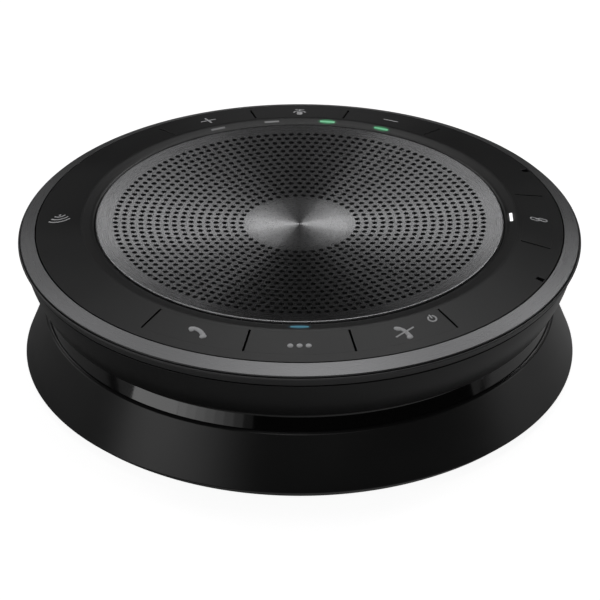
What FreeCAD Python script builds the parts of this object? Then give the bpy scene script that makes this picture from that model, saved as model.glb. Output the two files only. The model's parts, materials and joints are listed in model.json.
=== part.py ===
"""A round desk speakerphone: housing, control keys, lights, speaker, boards and battery.

Millimetres, +Z up. The origin is the centre of the foot's underside, and the front is at -Y.
Angles are in degrees from +X, anticlockwise seen from above: 90 is the back, 270 the front.
"""

import FreeCAD
import Part

import math
import os

# Base: foot, skirt and cable groove
FOOT_R = 57.1
FOOT_IN_R = 48.0
PLATE_Z = 1.5
PLATE_T = 1.6
PLATE_R = 56.6
SKIRT_R = 59.5
SKIRT_Z = 2.3
SKIRT_EDGE = 0.35
LEDGE_R = 54.8
LEDGE_Z = 13.7
FLANGE_IN_R = 47.6
WAIST_R = 53.1
WAIST_FLARE = (1.05, 2.6)
WALL = 1.8
INLET_BORE_R = 1.1
INLET_R = 1.75

# Bowl and rim
BOWL_LOW_R = 55.4
BOWL_LOW_Z = 17.9
BOWL_TOP_R = 58.85
BOWL_TOP_Z = 27.15
BOWL_BULGE = 0.45
BOWL_HOLE_R = 36.0
FLOOR_T = 1.6
PARTING = 0.3
LIP_R = 60.0
LIP_Z = 29.3
LIP_FLANGE_Z = 28.3
GROOVE_R = 59.62
BEVEL_R = 59.5
BEVEL_Z = 29.9
BEVEL_BASE_Z = 29.15
BEVEL_LEG_R = 57.25

# Control panel and light ring
TOP_Z = 33.0
PANEL_IN_R = 46.55
PANEL_OUT_R = 56.2
PANEL_OUT_Z = 31.15
PANEL_T = 1.3
PANEL_LEG_R = 55.3
SEAM = 0.05
PANEL_GAP = 0.15
LIGHT_IN_R = 44.0
LIGHT_IN_Z = 32.6
LIGHT_BASE_Z = 31.0
LIGHT_CHAMFER = (0.4, 0.5)

# Keys, each between two angles, in three windows
WINDOW_IN_R = 47.5
WINDOW_OUT_R = 53.9
WINDOWS = ((234.0, 306.0), (54.0, 126.0), (-12.4, 12.4))
KEY_SIDE_GAP = 0.25
KEY_END_GAP = 0.08
KEY_TRAVEL = 0.3
KEY_RETURN_GAP = 0.15
KEY_FLANGE_T = 0.6
KEY_FLANGE = 0.4
PLUNGER_R = 1.6
PAD_T = 1.1
PAD_NUB_R = 1.5
PAD_HOLLOW = (2.6, 0.7)
SWITCH_R = 50.7
DOME_R = 2.3
DOME_TOP_R = 1.1
DOME_H = 0.42
DOME_T = 0.15
KEYS = {
    "key_answer": (234.0, 258.0),
    "key_menu": (258.0, 282.0),
    "key_end": (282.0, 306.0),
    "key_volume_down": (54.0, 78.0),
    "key_mute": (78.0, 102.0),
    "key_volume_up": (102.0, 126.0),
    "key_link": (-12.4, 12.4),
}

# Light windows: angles, then length along the ring and middle radius
LIGHT_DEPTH = 0.6
LIT_ANGLES = (66.0, 82.0)
UNLIT_ANGLES = (98.0, 114.0)
LEVEL_SIZE = (3.3, 45.2)
CALL_ANGLE = 270.0
CALL_SIZE = (3.6, 45.4)
LINK_ANGLE = 0.0
LINK_SIZE = (3.5, 45.1)
CHIP = (1.6, 0.8, 0.6)

# Microphones
MIC_ANGLES = (-25.7, 25.7)
MIC_SLOT = (1.2, 1.6)
MIC_SLOT_R = 55.1
MIC_R = 53.15
MIC_CAPSULE = (2.8, 2.4, 1.0)
MIC_BOOT = (4.0, 4.0, 2.0)
MIC_DUCT_R = 0.5

# Grille
GRILLE_R = 43.35
GRILLE_Z = 31.15
GRILLE_T = 0.6
DISH_R = 589.0
CLOTH_R = 41.9
CLOTH_T = 0.25
PITCH = 1.78
HOLE_R = 0.6
FIRST_RING = 7
LAST_RING = 22

# Speaker driver
BAFFLE_Z = 28.6
BAFFLE_IN_R = 30.2
BAFFLE_T = 1.7
GASKET_IN_R = 31.0
GASKET_T = 0.3
BASKET_R = 34.5
BASKET_Z = 27.0
BASKET_T = 0.8
BASKET_FOOT = (12.0, 18.8, 1.0)
BASKET_NECK_R = 30.6
LEGS = 6
LEG_ANGLE = 20
CONE_OUT = (26.4, 27.6)
CONE_IN_Z = 19.9
SHEET = 0.3
ROLL_R = 1.55
COIL_R = 8.65
COIL_T = 0.45
POLE_R = 8.4
MAGNET_IN_R = 10.5
MAGNET_R = 17.0
CAP_RISE = 2.2
SPIDER_R = (16.0, 17.7)
SPIDER_WAVES = 5
SPIDER_WAVE_H = 0.35
YOKE_Z = 9.4
BACK_T = 1.5
PLATE_GAP = 0.25
MAGNET_TOP_Z = 14.6
FRONT_PLATE_Z = 16.2

# Boards, chassis and battery
BOARD_T = 1.2
MAIN_BOARD_Z = 20.6
MAIN_BOARD_R = (37.5, 50.5)
CHASSIS_Z = 24.2
CHASSIS_T = 1.6
CHASSIS_R = (39.0, 55.6)
KEY_BOARD_Z = 26.4
KEY_BOARD_R = (44.4, 55.2)
CHASSIS_RIM_R = 41.5
RIBBON_WIDTH = 8.0
RIBBON_T = 0.25
RIBBON_R = 52.0
RIBBON_END_R = 46.0
SHIELD = (18.0, 9.0, 2.0)
SHIELD_AT = (300, 44.5)
SHIELD_T = 0.2
COIL = (18.0, 7.0, 0.35)
COIL_BAND = 2.0
COIL_AT = (180, 50.2)
BATTERY = (56.0, 38.0, 5.0)
BATTERY_EDGE = 1.2
TRAY_WALL = 1.2
TRAY_FLOOR = 0.6
TRAY_GAP = 0.2

# Parts on the main board: length, width, height, angle, radius; then the round capacitors
BLOCKS = (
    (7.0, 5.0, 2.2, 90, 47.0),
    (5.0, 3.5, 1.8, 60, 47.0),
    (8.0, 8.0, 0.9, 215, 44.0),
    (4.0, 4.0, 1.6, 235, 44.0),
)
CAPACITOR = (1.6, 2.2, 47.5, (110, 117, 340, 347))

# Screws: shank radius, head radius, head height, length, radius from the axis, angles
BASE_SCREW = (1.1, 2.0, 0.9, 5.5, 52.0, (45, 135, 225, 315))
HOUSING_SCREW = (1.1, 2.0, 0.9, 6.5, 49.4, (20, 110, 200, 290))
CHASSIS_SCREW = (0.9, 1.7, 0.5, 5.0, 52.6, (35, 145, 215, 325))
BOARD_SCREW = (0.7, 1.4, 0.7, 2.0, 44.0, (15, 135, 255))
DRIVER_SCREW = (0.7, 1.3, 0.7, 2.6, 33.0, (45, 135, 225, 315))
CLEARANCE = 0.05

CENTRE = FreeCAD.Vector(0, 0, 0)
UP = FreeCAD.Vector(0, 0, 1)
BACK = FreeCAD.Vector(0, 1, 0)


# Shapes that several pieces share


def at(radius, angle, z=0.0):
    """The point at this radius, angle and height."""
    turn = math.radians(angle)
    return FreeCAD.Vector(radius * math.cos(turn), radius * math.sin(turn), z)


def ring(*outline):
    """The solid that a closed outline of (radius, z) points sweeps round the Z axis."""
    points = [FreeCAD.Vector(r, 0, z) for r, z in outline]
    return Part.Face(Part.makePolygon(points + points[:1])).revolve(CENTRE, UP, 360)


def disc(radius, low, high):
    return Part.makeCylinder(radius, high - low, FreeCAD.Vector(0, 0, low))


def tube(inner, outer, low, high):
    return ring((inner, low), (outer, low), (outer, high), (inner, high))


def block(length, width, angle, radius, low, high):
    """A box centred at a radius and angle: length runs along the ring, width outwards."""
    corner = FreeCAD.Vector(radius - width / 2, -length / 2, low)
    box = Part.makeBox(width, length, high - low, corner)
    box.rotate(CENTRE, UP, angle)
    return box


def peg(radius, angle, from_axis, low, high):
    return Part.makeCylinder(radius, high - low, at(from_axis, angle, low))


def wedge(start, end, inset):
    """A tall prism between two angles, its sides set in from the two radial lines."""
    reach = 90.0
    half = math.radians(end - start) / 2
    middle = (start + end) / 2
    corners = [
        at(inset / math.sin(half), middle),
        at(reach, start) + at(inset, start + 90),
        at(reach, middle),
        at(reach, end) + at(inset, end - 90),
    ]
    face = Part.Face(Part.makePolygon(corners + corners[:1]))
    return face.extrude(FreeCAD.Vector(0, 0, 2 * TOP_Z))


def group(solids):
    return Part.makeCompound(list(solids))


def screws(kind, seat_z, sense):
    """Cross-recess screws whose heads bear at seat_z; sense is 1 where the shanks point up."""
    shank_r, head_r, head_h, length, from_axis, angles = kind
    along = FreeCAD.Vector(0, 0, sense)
    made = []
    for angle in angles:
        seat = at(from_axis, angle, seat_z)
        body = Part.makeCylinder(shank_r, length, seat, along)
        body = body.fuse(Part.makeCylinder(head_r, head_h, seat, along.negative()))
        depth = head_h / 2
        low = seat_z - sense * (head_h - depth / 2) - depth / 2
        slots = [
            Part.makeBox(1.3 * head_r, 0.35, depth, FreeCAD.Vector(-0.65 * head_r, -0.175, low)),
            Part.makeBox(0.35, 1.3 * head_r, depth, FreeCAD.Vector(-0.175, -0.65 * head_r, low)),
        ]
        for slot in slots:
            slot.translate(at(from_axis, angle))
        made.append(body.cut(slots).removeSplitter())
    return group(made)


def screw_holes(kind, low, high, extra=CLEARANCE):
    """The holes that this kind of screw needs between two heights."""
    return [peg(kind[0] + extra, angle, kind[4], low, high) for angle in kind[5]]


def bosses(kind, radius, low, high):
    return [peg(radius, angle, kind[4], low, high) for angle in kind[5]]


def panel_z(radius):
    """Height of the control panel's conical top."""
    slope = (TOP_Z - PANEL_OUT_Z) / (PANEL_OUT_R - PANEL_IN_R)
    return TOP_Z - (radius - PANEL_IN_R) * slope


def light_z(radius):
    """Height of the light ring's top, which falls towards the grille."""
    slope = (TOP_Z - LIGHT_IN_Z) / (PANEL_IN_R - SEAM - LIGHT_IN_R)
    return TOP_Z - (PANEL_IN_R - SEAM - radius) * slope


def dish(radius, low, thickness):
    """A round sheet of a hollow sphere; low is its top's height at the centre."""
    centre = FreeCAD.Vector(0, 0, low + DISH_R)
    sheet = disc(radius, low - 2, low + 4).common(Part.makeSphere(DISH_R + thickness, centre))
    return sheet.cut(Part.makeSphere(DISH_R, centre))


# Base


def foot_ring():
    return ring(
        (FOOT_IN_R, 0), (FOOT_R, 0), (FOOT_R, 1.0), (FOOT_R - 0.4, PLATE_Z), (FOOT_IN_R, PLATE_Z)
    )


def base_plate():
    """The bottom: a raised pad inside the foot, and sunk seats for the screws above the foot."""
    top = PLATE_Z + PLATE_T
    pad_r = FOOT_IN_R - 0.2
    plate = ring((0, 0.9), (pad_r, 0.9), (pad_r, PLATE_Z), (PLATE_R, PLATE_Z), (PLATE_R, top), (0, top))
    seats = bosses(BASE_SCREW, BASE_SCREW[1] + 0.1, PLATE_Z, PLATE_Z + 1)
    return plate.cut(seats + screw_holes(BASE_SCREW, 0, top + 1, 0.15))


def base_skirt():
    """A flared shell that turns in under its widest edge, with a ledge and flange on top."""
    edge = SKIRT_EDGE
    flare = (SKIRT_R - LEDGE_R) / (LEDGE_Z - SKIRT_Z)
    inner_r = PLATE_R + 0.15
    under = LEDGE_Z - WALL
    plate_top = PLATE_Z + PLATE_T
    shell = ring(
        (FOOT_R + 0.5, 0.45),
        (SKIRT_R - edge, SKIRT_Z - edge),
        (SKIRT_R, SKIRT_Z),
        (SKIRT_R - edge * flare, SKIRT_Z + edge),
        (LEDGE_R + edge * flare, LEDGE_Z - edge),
        (LEDGE_R - edge, LEDGE_Z),
        (FLANGE_IN_R, LEDGE_Z),
        (FLANGE_IN_R, under),
        (LEDGE_R - WALL, under),
        (inner_r, plate_top),
        (inner_r, PLATE_Z),
        (FOOT_R + 0.1, 1.1),
        (FOOT_R + 0.1, 0.45),
    )
    shell = shell.fuse(bosses(BASE_SCREW, 2.3, plate_top, under + 0.5))
    holes = screw_holes(BASE_SCREW, plate_top - 1, plate_top + 6)
    return shell.cut(holes + screw_holes(HOUSING_SCREW, under - 1, LEDGE_Z + 1, 0.15))


def inlet(radius, start, length):
    """A cylinder through the back of the waist, along the cable's way in."""
    z = (LEDGE_Z + BOWL_LOW_Z) / 2
    return Part.makeCylinder(radius, length, FreeCAD.Vector(0, start, z), BACK)


def waist_side():
    """The waist's outer side: it flares to the ledge and is upright above that."""
    flare, height = WAIST_FLARE
    return ((WAIST_R + flare, LEDGE_Z), (WAIST_R, LEDGE_Z + height), (WAIST_R, BOWL_LOW_Z))


def waist_band():
    """The gloss neck that the cable winds round, with the hole where the cable goes in."""
    inner = WAIST_R - WALL
    flange_z = LEDGE_Z + 1.4
    band = ring(
        (FLANGE_IN_R, LEDGE_Z),
        *waist_side(),
        (inner, BOWL_LOW_Z),
        (inner, flange_z),
        (FLANGE_IN_R, flange_z),
    )
    holes = screw_holes(HOUSING_SCREW, LEDGE_Z - 1, flange_z + 1, 0.15)
    return band.cut(holes + [inlet(INLET_R + CLEARANCE, FLANGE_IN_R, 10)])


def cable_inlet():
    """The rubber bush in the waist's hole, flush outside."""
    within = ring((FLANGE_IN_R, LEDGE_Z), *waist_side(), (FLANGE_IN_R, BOWL_LOW_Z))
    bush = inlet(INLET_R, WAIST_R - WALL - 1, WALL + 4).common(within)
    return bush.cut(inlet(INLET_BORE_R, FLANGE_IN_R, 10))


def base_screws():
    return screws(BASE_SCREW, PLATE_Z + 1, 1)


def housing_screws():
    return screws(HOUSING_SCREW, LEDGE_Z - WALL, 1)


def battery_tray():
    low = PLATE_Z + PLATE_T
    length, width, height = BATTERY
    gap = TRAY_GAP
    outer = Part.makeBox(
        length + 2 * (TRAY_WALL + gap),
        width + 2 * (TRAY_WALL + gap),
        height,
        FreeCAD.Vector(-length / 2 - TRAY_WALL - gap, -width / 2 - TRAY_WALL - gap, low),
    )
    hollow = Part.makeBox(
        length + 2 * gap,
        width + 2 * gap,
        height,
        FreeCAD.Vector(-length / 2 - gap, -width / 2 - gap, low + TRAY_FLOOR),
    )
    return outer.cut(hollow)


def battery_pack():
    """A flat pouch cell with rounded long edges."""
    length, width, height = BATTERY
    low = PLATE_Z + PLATE_T + TRAY_FLOOR
    cell = Part.makeBox(length, width, height, FreeCAD.Vector(-length / 2, -width / 2, low))
    long_edges = [e for e in cell.Edges if abs(e.Length - length) < 1e-6]
    return cell.makeFillet(BATTERY_EDGE, long_edges)


# Bowl and rim


def lower_housing():
    """The bowl: its side bulges a little, its floor carries the boards, its bosses the screws."""
    top_in = BOWL_TOP_R - WALL
    low_in = BOWL_LOW_R - WALL
    floor = BOWL_LOW_Z + FLOOR_T
    low = FreeCAD.Vector(BOWL_LOW_R, 0, BOWL_LOW_Z + 0.4)
    top = FreeCAD.Vector(BOWL_TOP_R, 0, BOWL_TOP_Z)
    bulge = FreeCAD.Vector(BOWL_BULGE, 0, -BOWL_BULGE * 0.4)
    side = Part.Arc(low, (low + top) / 2 + bulge, top).toShape()
    rest = [
        (BOWL_TOP_R, BOWL_TOP_Z),
        (top_in, BOWL_TOP_Z),
        (low_in, floor),
        (BOWL_HOLE_R, floor),
        (BOWL_HOLE_R, BOWL_LOW_Z),
        (BOWL_LOW_R - 0.4, BOWL_LOW_Z),
        (BOWL_LOW_R, BOWL_LOW_Z + 0.4),
    ]
    lines = Part.makePolygon([FreeCAD.Vector(r, 0, z) for r, z in rest])
    bowl = Part.Face(Part.Wire([side] + lines.Edges)).revolve(CENTRE, UP, 360)
    raised = bosses(BOARD_SCREW, 1.8, floor - 0.5, MAIN_BOARD_Z)
    raised += bosses(CHASSIS_SCREW, 1.7, floor - 0.5, CHASSIS_Z)
    raised += bosses(HOUSING_SCREW, 1.8, LEDGE_Z + 1.4, BOWL_LOW_Z + 0.5)
    holes = screw_holes(HOUSING_SCREW, LEDGE_Z, BOWL_LOW_Z + 1)
    holes += screw_holes(BOARD_SCREW, floor - 0.5, MAIN_BOARD_Z + 1)
    holes += screw_holes(CHASSIS_SCREW, floor + 0.5, CHASSIS_Z + 1)
    return bowl.fuse(raised).cut(holes).removeSplitter()


def seal_ring():
    return tube(BOWL_TOP_R - WALL + 0.1, BOWL_TOP_R - 0.9, BOWL_TOP_Z, BOWL_TOP_Z + PARTING)


def rim_lip():
    """The black ring above the parting line, with a shadow groove round the bevel ring."""
    low = BOWL_TOP_Z + PARTING
    return ring(
        (BOWL_TOP_R + 0.1, low),
        (LIP_R - 0.55, LIP_Z - 1.1),
        (LIP_R, LIP_Z),
        (LIP_R - 0.2, LIP_Z + 0.25),
        (GROOVE_R, LIP_Z + 0.25),
        (GROOVE_R, BEVEL_BASE_Z - SEAM),
        (BEVEL_LEG_R + SEAM, BEVEL_BASE_Z - SEAM),
        (BEVEL_LEG_R + SEAM, LIP_FLANGE_Z),
        (PANEL_LEG_R, LIP_FLANGE_Z),
        (PANEL_LEG_R, low),
    )


def bevel_ring():
    """The spun metal ring that surrounds the panel."""
    edge = 0.1
    inner = PANEL_OUT_R + PANEL_GAP
    return ring(
        (inner, PANEL_OUT_Z),
        (BEVEL_R - edge, BEVEL_Z + edge / 3),
        (BEVEL_R, BEVEL_Z - edge),
        (BEVEL_R, BEVEL_Z - 0.45),
        (BEVEL_R - 0.2, BEVEL_BASE_Z),
        (BEVEL_LEG_R, BEVEL_BASE_Z),
        (BEVEL_LEG_R, LIP_FLANGE_Z),
        (inner, LIP_FLANGE_Z),
    )


# Control panel, keys and light ring


def control_panel():
    """The soft-touch ring: three windows for the keys and two slots for the microphones."""
    body = ring(
        (PANEL_IN_R, TOP_Z),
        (PANEL_OUT_R, PANEL_OUT_Z),
        (PANEL_OUT_R, LIP_FLANGE_Z),
        (PANEL_LEG_R, LIP_FLANGE_Z),
        (PANEL_LEG_R, panel_z(PANEL_LEG_R) - PANEL_T),
        (PANEL_IN_R, TOP_Z - PANEL_T),
    )
    band = tube(WINDOW_IN_R, WINDOW_OUT_R, PANEL_OUT_Z - 3, TOP_Z + 1)
    windows = [band.common(wedge(start, end, -KEY_SIDE_GAP)) for start, end in WINDOWS]
    slots = [block(*MIC_SLOT, angle, MIC_SLOT_R, LIP_FLANGE_Z - 1, TOP_Z) for angle in MIC_ANGLES]
    return body.cut(windows + slots)


def key(start, end):
    """A key: its cap fills the window, a flange holds it below, and a plunger meets the switch."""
    inner = WINDOW_IN_R + KEY_END_GAP
    outer = WINDOW_OUT_R - KEY_END_GAP
    flange_in = inner - KEY_FLANGE
    flange_out = outer + KEY_FLANGE
    under = PANEL_T + KEY_RETURN_GAP
    cap = ring(
        (inner, panel_z(inner)),
        (outer, panel_z(outer)),
        (outer, panel_z(outer) - under),
        (flange_out, panel_z(flange_out) - under),
        (flange_out, panel_z(flange_out) - under - KEY_FLANGE_T),
        (flange_in, panel_z(flange_in) - under - KEY_FLANGE_T),
        (flange_in, panel_z(flange_in) - under),
        (inner, panel_z(inner) - under),
    )
    middle = (start + end) / 2
    top = panel_z(SWITCH_R) - under - KEY_FLANGE_T / 2
    plunger = peg(PLUNGER_R, middle, SWITCH_R, pad_top_z() + KEY_TRAVEL + 0.1, top)
    return cap.common(wedge(start, end, KEY_SIDE_GAP)).fuse(plunger).removeSplitter()


def board_top_z():
    return KEY_BOARD_Z + BOARD_T


def pad_top_z():
    """Top of the nub on each key pad."""
    return board_top_z() + 1.6


def key_pads():
    """Silicone pads on the key board, each hollow over its dome switch."""
    pads = []
    for start, end in KEYS.values():
        low = board_top_z()
        sector = tube(WINDOW_IN_R + KEY_FLANGE, WINDOW_OUT_R - KEY_FLANGE, low, low + PAD_T)
        pad = sector.common(wedge(start, end, 1.0))
        middle = (start + end) / 2
        hollow_r, hollow_h = PAD_HOLLOW
        pad = pad.fuse(peg(PAD_NUB_R, middle, SWITCH_R, low + PAD_T / 2, pad_top_z()))
        pads.append(pad.cut(peg(hollow_r, middle, SWITCH_R, low, low + hollow_h)).removeSplitter())
    return group(pads)


def dome_switches():
    """Snap domes: shallow metal caps below the key pads, each flat on top."""
    low = board_top_z()
    top = low + DOME_H
    cap = ring(
        (0, top - DOME_T),
        (DOME_TOP_R, top - DOME_T),
        (DOME_R - DOME_T, low),
        (DOME_R, low),
        (DOME_TOP_R, top),
        (0, top),
    )
    domes = []
    for start, end in KEYS.values():
        dome = cap.copy()
        dome.translate(at(SWITCH_R, (start + end) / 2))
        domes.append(dome)
    return group(domes)


def light_pocket(size, angle, grow):
    """The curved bar that a light window fills, grown each way for its pocket."""
    length, radius = size
    half = math.degrees((length / 2 + grow) / radius)
    depth = LIGHT_DEPTH / 2 + grow
    band = tube(radius - depth, radius + depth, board_top_z() + 1.0, TOP_Z + 1)
    return band.common(wedge(angle - half, angle + half, 0.0))


def all_pockets(grow):
    """Every light window's pocket."""
    made = [light_pocket(LEVEL_SIZE, angle, grow) for angle in LIT_ANGLES + UNLIT_ANGLES]
    made.append(light_pocket(CALL_SIZE, CALL_ANGLE, grow))
    made.append(light_pocket(LINK_SIZE, LINK_ANGLE, grow))
    return made


def light_cone():
    """All that lies below the light ring's sloping top."""
    inner = LIGHT_IN_R - 2
    outer = PANEL_IN_R
    return ring((0, 0), (outer, 0), (outer, light_z(outer)), (inner, light_z(inner)), (0, GRILLE_Z))


def light_ring():
    """The ring that carries the lights: its top falls towards the grille."""
    width, height = LIGHT_CHAMFER
    body = ring(
        (LIGHT_IN_R - width, LIGHT_BASE_Z),
        (PANEL_IN_R - SEAM, LIGHT_BASE_Z),
        (PANEL_IN_R - SEAM, TOP_Z),
        (LIGHT_IN_R, LIGHT_IN_Z),
        (LIGHT_IN_R - width, LIGHT_IN_Z - height),
    )
    return body.cut(all_pockets(0.03))


def light_windows(size, angles):
    below_top = light_cone()
    return group(light_pocket(size, angle, 0.0).common(below_top) for angle in angles)


def light_chips():
    """The light-emitting chips below the six windows."""
    places = [(angle, LEVEL_SIZE[1]) for angle in LIT_ANGLES + UNLIT_ANGLES]
    places += [(CALL_ANGLE, CALL_SIZE[1]), (LINK_ANGLE, LINK_SIZE[1])]
    length, width, height = CHIP
    low = board_top_z()
    return group(block(length, width, angle, radius, low, low + height) for angle, radius in places)


# Microphones


def mic_capsules():
    length, width, height = MIC_CAPSULE
    low = board_top_z()
    return group(block(length, width, angle, MIC_R, low, low + height) for angle in MIC_ANGLES)


def mic_boots():
    """Rubber boots over the microphones, each with a duct that leads up to its slot."""
    length, width, height = MIC_BOOT
    hollow_length, hollow_width, hollow_height = (size + CLEARANCE for size in MIC_CAPSULE)
    boots = []
    low = board_top_z()
    for angle in MIC_ANGLES:
        boot = block(length, width, angle, MIC_R, low, low + height)
        hollow = block(hollow_length, hollow_width, angle, MIC_R, low - 1, low + hollow_height)
        duct = peg(MIC_DUCT_R, angle, MIC_R + 1.2, low, low + height + 1)
        boots.append(boot.cut([hollow, duct]))
    return group(boots)


# Grille and speaker


def grille_holes(first, last):
    """Punched holes of one sixth of the grille: ring j holds 6 j of them, square to the dish."""
    centre = FreeCAD.Vector(0, 0, GRILLE_Z + DISH_R)
    holes = []
    for number in range(first, last + 1):
        for step in range(number + 1):
            radius = number * PITCH
            drop = math.sqrt(DISH_R**2 - radius**2)
            point = at(radius, 60 * step / number, centre.z - drop)
            inward = (centre - point).normalize()
            holes.append(Part.makeCylinder(HOLE_R, 4 * GRILLE_T, point - inward * 2 * GRILLE_T, inward))
    return holes


def grille():
    """A dished metal sheet, punched in six equal sectors that are then joined."""
    sector = dish(GRILLE_R, GRILLE_Z, GRILLE_T).common(wedge(0, 60, 0.0))
    punched = sector.cut(grille_holes(FIRST_RING, LAST_RING))
    sectors = []
    for turn in range(6):
        copy = punched.copy()
        copy.rotate(CENTRE, UP, 60 * turn)
        sectors.append(copy)
    return sectors[0].multiFuse(sectors[1:])


def grille_cloth():
    return dish(CLOTH_R, GRILLE_Z - GRILLE_T - 0.02, CLOTH_T)


def speaker_baffle():
    """The plate that carries the grille on its rim, the light ring outside and the driver below."""
    rim_in = CLOTH_R + 0.25
    rim_out = LIGHT_IN_R - LIGHT_CHAMFER[0] - 0.1
    seat_z = GRILLE_Z + 0.91
    flange_z = LIGHT_BASE_Z - 1.4
    body = ring(
        (BAFFLE_IN_R, BAFFLE_Z),
        (LIGHT_IN_R, BAFFLE_Z),
        (LIGHT_IN_R, flange_z),
        (PANEL_IN_R - 0.15, flange_z),
        (PANEL_IN_R - 0.15, LIGHT_BASE_Z),
        (rim_out, LIGHT_BASE_Z),
        (rim_out, seat_z),
        (rim_in, seat_z),
        (rim_in, BAFFLE_Z + BAFFLE_T),
        (BAFFLE_IN_R, BAFFLE_Z + BAFFLE_T),
    )
    return body.cut(all_pockets(0.03) + screw_holes(DRIVER_SCREW, BAFFLE_Z - 1, BAFFLE_Z + 1.3))


def driver_gasket():
    low = BAFFLE_Z - GASKET_T
    band = tube(GASKET_IN_R, BASKET_R, low, BAFFLE_Z)
    return band.cut(screw_holes(DRIVER_SCREW, low - 1, BAFFLE_Z + 1))


def driver_basket():
    """The pressed frame: a flange, six legs and the ring that sits on the front plate."""
    foot_in, foot_out, foot_t = BASKET_FOOT
    foot_z = FRONT_PLATE_Z
    gasket_z = BAFFLE_Z - GASKET_T
    body = ring(
        (foot_in, foot_z),
        (foot_out, foot_z),
        (BASKET_NECK_R, BASKET_Z),
        (BASKET_R, BASKET_Z),
        (BASKET_R, gasket_z),
        (GASKET_IN_R, gasket_z),
        (GASKET_IN_R, BASKET_Z + BASKET_T),
        (BASKET_NECK_R - 1.4, BASKET_Z + BASKET_T),
        (foot_out - 0.9, foot_z + foot_t),
        (foot_in, foot_z + foot_t),
    )
    opening = tube(foot_out + 0.7, BASKET_NECK_R - 2.6, foot_z + 1, BASKET_Z)
    pitch = 360 / LEGS
    starts = [pitch * i + LEG_ANGLE / 2 for i in range(LEGS)]
    openings = [opening.common(wedge(start, start + pitch - LEG_ANGLE, 0.0)) for start in starts]
    return body.cut(openings + screw_holes(DRIVER_SCREW, BASKET_Z - 1, BAFFLE_Z))


def driver_surround():
    """The rubber half roll between cone and basket, with its glued lip."""
    middle = CONE_OUT[0] + ROLL_R
    low = BASKET_Z + BASKET_T
    inner_r = ROLL_R - SHEET
    edges = [
        Part.Arc(*[FreeCAD.Vector(*p) for p in arc]).toShape()
        for arc in (
            ((middle - ROLL_R, 0, low), (middle, 0, low + ROLL_R), (middle + ROLL_R, 0, low)),
            ((middle + inner_r, 0, low), (middle, 0, low + inner_r), (middle - inner_r, 0, low)),
        )
    ]
    ends = [
        Part.makeLine(edges[0].Vertexes[-1].Point, edges[1].Vertexes[0].Point),
        Part.makeLine(edges[1].Vertexes[-1].Point, edges[0].Vertexes[0].Point),
    ]
    wire = Part.Wire(Part.__sortEdges__(edges + ends))
    roll = Part.Face(wire).revolve(CENTRE, UP, 360)
    lip = tube(middle + inner_r, GASKET_IN_R - 0.1, low, low + SHEET)
    return roll.fuse(lip).removeSplitter()


def driver_cone():
    outer, top = CONE_OUT
    inner = COIL_R + COIL_T
    return ring((inner, CONE_IN_Z), (outer, top), (outer, top + SHEET), (inner, CONE_IN_Z + SHEET))


def dust_cap():
    """A thin dome over the voice coil."""
    radius = COIL_R + COIL_T
    sphere_r = (radius**2 + CAP_RISE**2) / (2 * CAP_RISE)
    low = CONE_IN_Z + SHEET + 0.1
    centre = FreeCAD.Vector(0, 0, low + CAP_RISE - sphere_r)
    dome = Part.makeSphere(sphere_r, centre).cut(Part.makeSphere(sphere_r - SHEET, centre))
    return dome.common(disc(radius, low, TOP_Z))


def voice_coil():
    return tube(COIL_R, COIL_R + COIL_T, MAGNET_TOP_Z - 2, CONE_IN_Z)


def driver_spider():
    """The corrugated cloth disc that centres the coil."""
    inner = COIL_R + COIL_T + CLEARANCE
    wave_end, rim_r = SPIDER_R
    low = FRONT_PLATE_Z + BASKET_FOOT[2]
    middle = low + 0.6
    step = (wave_end - inner) / (2 * SPIDER_WAVES)
    crests = [
        (inner + i * step, middle + SPIDER_WAVE_H * (-1) ** i) for i in range(2 * SPIDER_WAVES + 1)
    ]
    top = [(r, z + SHEET) for r, z in crests] + [(rim_r, low + SHEET)]
    return ring(*crests, (rim_r, low), *reversed(top))


def front_plate():
    return tube(COIL_R + COIL_T + PLATE_GAP, MAGNET_R + 0.5, MAGNET_TOP_Z, FRONT_PLATE_Z)


def driver_magnet():
    return tube(MAGNET_IN_R, MAGNET_R, YOKE_Z + BACK_T, MAGNET_TOP_Z)


def driver_yoke():
    back = YOKE_Z + BACK_T
    return ring(
        (0, YOKE_Z),
        (MAGNET_R + 0.5, YOKE_Z),
        (MAGNET_R + 0.5, back),
        (POLE_R, back),
        (POLE_R, FRONT_PLATE_Z),
        (0, FRONT_PLATE_Z),
    )


def driver_screws():
    return screws(DRIVER_SCREW, BASKET_Z, 1)


# Chassis and boards


def chassis():
    """The frame that carries the baffle on its inner rim and the key board on small pads."""
    top = CHASSIS_Z + CHASSIS_T
    plate = tube(*CHASSIS_R, CHASSIS_Z, top)
    rim = tube(CHASSIS_RIM_R, KEY_BOARD_R[0] - 0.5, top - 0.5, BAFFLE_Z)
    pads = [
        peg(1.8, (start + end) / 2, SWITCH_R, top - 0.5, KEY_BOARD_Z) for start, end in KEYS.values()
    ]
    slot = block(RIBBON_WIDTH + 1, 1.6, 180, RIBBON_R, CHASSIS_Z - 1, top + 1)
    holes = screw_holes(CHASSIS_SCREW, CHASSIS_Z - 1, top + 1, 0.15)
    return plate.fuse([rim] + pads).cut([slot] + holes).removeSplitter()


def chassis_screws():
    return screws(CHASSIS_SCREW, CHASSIS_Z + CHASSIS_T, -1)


def key_board():
    return tube(*KEY_BOARD_R, KEY_BOARD_Z, board_top_z())


def main_board():
    board = tube(*MAIN_BOARD_R, MAIN_BOARD_Z, MAIN_BOARD_Z + BOARD_T)
    return board.cut(screw_holes(BOARD_SCREW, MAIN_BOARD_Z - 1, MAIN_BOARD_Z + 2, 0.1))


def board_screws():
    return screws(BOARD_SCREW, MAIN_BOARD_Z + BOARD_T, -1)


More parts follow.
